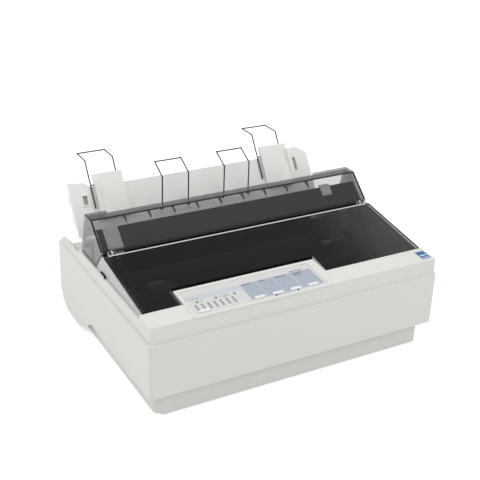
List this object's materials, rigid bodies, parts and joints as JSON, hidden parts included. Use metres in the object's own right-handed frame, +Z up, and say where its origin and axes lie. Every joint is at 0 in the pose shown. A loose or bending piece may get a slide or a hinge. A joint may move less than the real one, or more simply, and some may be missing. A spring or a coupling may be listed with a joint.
{
  "type": "dot matrix printer",
  "caption": "Desktop impact printer with a smoked hinged front cover, a crown cover, a tilting paper guide with wire supports, a platen, and a sliding print carriage.",
  "frame": {"origin": "middle of the underside of the whole part, on the surface it stands on", "axes": "+X along the width to the operator's right, +Y from the front to the rear, +Z up"},
  "size_m": [0.366, 0.294, 0.192],
  "materials": {
    "housing": "satin moulded plastic",
    "lower_case": "satin moulded plastic",
    "smoked_cover": "smoked translucent plastic",
    "white_plastic": "satin moulded plastic",
    "wire": "dark plated wire",
    "steel": "brushed",
    "plated_sheet": "satin",
    "rubber": "matt",
    "dark_plastic": "satin",
    "gear_plastic": "satin",
    "knob_plastic": "satin",
    "board": "solder mask",
    "copper": "lacquered windings",
    "label": "printed film",
    "lens": "clear green plastic",
    "button": "satin",
    "lever": "satin",
    "ribbon": "inked fabric",
    "socket_metal": "nickel",
    "cable": "satin",
    "head_metal": "cast"
  },
  "bodies": {
    "case": {"lower_case": "lower_case", "upper_housing": "housing", "rubber_feet": "rubber", "case_screws": "steel", "side_frames": "plated_sheet", "base_plate": "plated_sheet", "front_rail": "plated_sheet", "guide_shaft": "steel", "platen_bushes": "dark_plastic", "paper_pan": "dark_plastic", "exit_panel": "dark_plastic", "exit_brackets": "white_plastic", "guide_brackets": "white_plastic", "hinge_pins": "steel", "main_board": "board", "power_board": "board", "transformer": "copper", "power_inlet": "dark_plastic", "rear_sockets": "socket_metal", "carriage_motor": "plated_sheet", "paper_motor": "plated_sheet", "drive_belt": "rubber", "ribbon_cartridge": "dark_plastic", "ribbon": "ribbon", "head_cable": "cable", "panel_board": "board", "panel_label": "label", "lamp_lenses": "lens"},
    "front_cover": {"front_cover": "smoked_cover"},
    "rear_cover": {"rear_cover": "smoked_cover"},
    "paper_guide": {"paper_guide": "white_plastic"},
    "left_edge_guide": {"left_edge_guide": "white_plastic"},
    "right_edge_guide": {"right_edge_guide": "white_plastic"},
    "left_outer_wire": {"left_outer_wire": "wire"},
    "right_outer_wire": {"right_outer_wire": "wire"},
    "left_inner_wire": {"left_inner_wire": "wire"},
    "right_inner_wire": {"right_inner_wire": "wire"},
    "platen": {"platen_roller": "rubber", "platen_shaft": "steel", "platen_knob": "knob_plastic", "platen_gear": "gear_plastic"},
    "reduction_gear": {"reduction_gear": "gear_plastic"},
    "motor_pinion": {"motor_pinion": "steel"},
    "pressure_rollers": {"pressure_rollers": "rubber"},
    "exit_rollers": {"exit_rollers": "rubber"},
    "carriage": {"carriage": "dark_plastic", "print_head": "head_metal"},
    "motor_pulley": {"motor_pulley": "gear_plastic"},
    "idler_pulley": {"idler_pulley": "gear_plastic"},
    "ribbon_knob": {"ribbon_knob": "lever"},
    "release_lever": {"release_lever": "lever"},
    "gap_lever": {"gap_lever": "lever"},
    "power_switch": {"power_switch": "dark_plastic"},
    "pause_button": {"pause_button": "button"},
    "button_1": {"button_1": "button"},
    "button_2": {"button_2": "button"},
    "button_3": {"button_3": "button"},
    "button_4": {"button_4": "button"}
  },
  "joints": [
    {"name": "front_cover_hinge", "type": "hinge", "parent": "case", "child": "front_cover", "pos_m": [0, -0.00702, 0.1293], "axis": [-1, 0, 0], "range_deg": [0, 90]},
    {"name": "rear_cover_hinge", "type": "hinge", "parent": "case", "child": "rear_cover", "pos_m": [0, -0.00702, 0.1293], "axis": [1, 0, 0], "range_deg": [0, 20]},
    {"name": "paper_guide_hinge", "type": "hinge", "parent": "case", "child": "paper_guide", "pos_m": [0, 0.06748, 0.1095], "axis": [-1, 0, 0], "range_deg": [0, 42]},
    {"name": "left_edge_slide", "type": "slide", "parent": "paper_guide", "child": "left_edge_guide", "axis": [1, 0, 0], "range_m": [-0.004, 0.035]},
    {"name": "right_edge_slide", "type": "slide", "parent": "paper_guide", "child": "right_edge_guide", "axis": [1, 0, 0], "range_m": [-0.022, 0.01]},
    {"name": "left_outer_wire_pivot", "type": "hinge", "parent": "left_edge_guide", "child": "left_outer_wire", "pos_m": [-0.147, 0.1033, 0.16555], "axis": [-1, 0, 0], "range_deg": [0, 35]},
    {"name": "right_outer_wire_pivot", "type": "hinge", "parent": "right_edge_guide", "child": "right_outer_wire", "pos_m": [0.081, 0.1033, 0.16555], "axis": [-1, 0, 0], "range_deg": [0, 35]},
    {"name": "left_inner_wire_pivot", "type": "hinge", "parent": "paper_guide", "child": "left_inner_wire", "pos_m": [-0.065, 0.07898, 0.12999], "axis": [-1, 0, 0], "range_deg": [-20, 20]},
    {"name": "right_inner_wire_pivot", "type": "hinge", "parent": "paper_guide", "child": "right_inner_wire", "pos_m": [0.0195, 0.07898, 0.12999], "axis": [-1, 0, 0], "range_deg": [-20, 20]},
    {"name": "platen_spin", "type": "hinge", "parent": "case", "child": "platen", "pos_m": [0, 0.00648, 0.074], "axis": [1, 0, 0], "continuous": true},
    {"name": "reduction_gear_spin", "type": "hinge", "parent": "case", "child": "reduction_gear", "pos_m": [-0.172, 0.02191, 0.05561], "axis": [1, 0, 0], "continuous": true},
    {"name": "motor_pinion_spin", "type": "hinge", "parent": "case", "child": "motor_pinion", "pos_m": [-0.172, 0.03231, 0.0376], "axis": [1, 0, 0], "continuous": true},
    {"name": "pressure_roller_spin", "type": "hinge", "parent": "case", "child": "pressure_rollers", "pos_m": [0, 0.00269, 0.05253], "axis": [1, 0, 0], "continuous": true},
    {"name": "exit_roller_spin", "type": "hinge", "parent": "case", "child": "exit_rollers", "pos_m": [0, 0.00648, 0.112], "axis": [1, 0, 0], "continuous": true},
    {"name": "carriage_slide", "type": "slide", "parent": "case", "child": "carriage", "axis": [1, 0, 0], "range_m": [0, 0.206]},
    {"name": "motor_pulley_spin", "type": "hinge", "parent": "case", "child": "motor_pulley", "pos_m": [-0.136, -0.05552, 0.039], "axis": [0, 0, 1], "continuous": true},
    {"name": "idler_pulley_spin", "type": "hinge", "parent": "case", "child": "idler_pulley", "pos_m": [0.112, -0.05552, 0.039], "axis": [0, 0, 1], "continuous": true},
    {"name": "ribbon_knob_spin", "type": "hinge", "parent": "case", "child": "ribbon_knob", "pos_m": [0.106, -0.06952, 0.09], "axis": [0, 0, 1], "continuous": true},
    {"name": "release_lever_pivot", "type": "hinge", "parent": "case", "child": "release_lever", "pos_m": [0.163, 0.03648, 0.084], "axis": [1, 0, 0], "range_deg": [-15, 15]},
    {"name": "gap_lever_pivot", "type": "hinge", "parent": "case", "child": "gap_lever", "pos_m": [-0.163, -0.04352, 0.054], "axis": [1, 0, 0], "range_deg": [0, 25]},
    {"name": "power_switch_rock", "type": "hinge", "parent": "case", "child": "power_switch", "pos_m": [0.179, -0.10352, 0.056], "axis": [0, -1, 0], "range_deg": [0, 8]},
    {"name": "pause_button_press", "type": "slide", "parent": "case", "child": "pause_button", "axis": [0, 0.083, -0.9965], "range_m": [0, 0.0006], "stiffness_N_per_m": 300, "springref_m": -0.0006},
    {"name": "button_1_press", "type": "slide", "parent": "case", "child": "button_1", "axis": [0, 0.083, -0.9965], "range_m": [0, 0.0006], "stiffness_N_per_m": 300, "springref_m": -0.0006},
    {"name": "button_2_press", "type": "slide", "parent": "case", "child": "button_2", "axis": [0, 0.083, -0.9965], "range_m": [0, 0.0006], "stiffness_N_per_m": 300, "springref_m": -0.0006},
    {"name": "button_3_press", "type": "slide", "parent": "case", "child": "button_3", "axis": [0, 0.083, -0.9965], "range_m": [0, 0.0006], "stiffness_N_per_m": 300, "springref_m": -0.0006},
    {"name": "button_4_press", "type": "slide", "parent": "case", "child": "button_4", "axis": [0, 0.083, -0.9965], "range_m": [0, 0.0006], "stiffness_N_per_m": 300, "springref_m": -0.0006}
  ],
  "couplings": [
    {"joint": "reduction_gear_spin", "follows": "platen_spin", "ratio": -3},
    {"joint": "motor_pinion_spin", "follows": "platen_spin", "ratio": 10},
    {"joint": "pressure_roller_spin", "follows": "platen_spin", "ratio": -3.3},
    {"joint": "motor_pulley_spin", "follows": "carriage_slide", "rad_per_m": -158.73},
    {"joint": "idler_pulley_spin", "follows": "carriage_slide", "rad_per_m": -158.73}
  ]
}
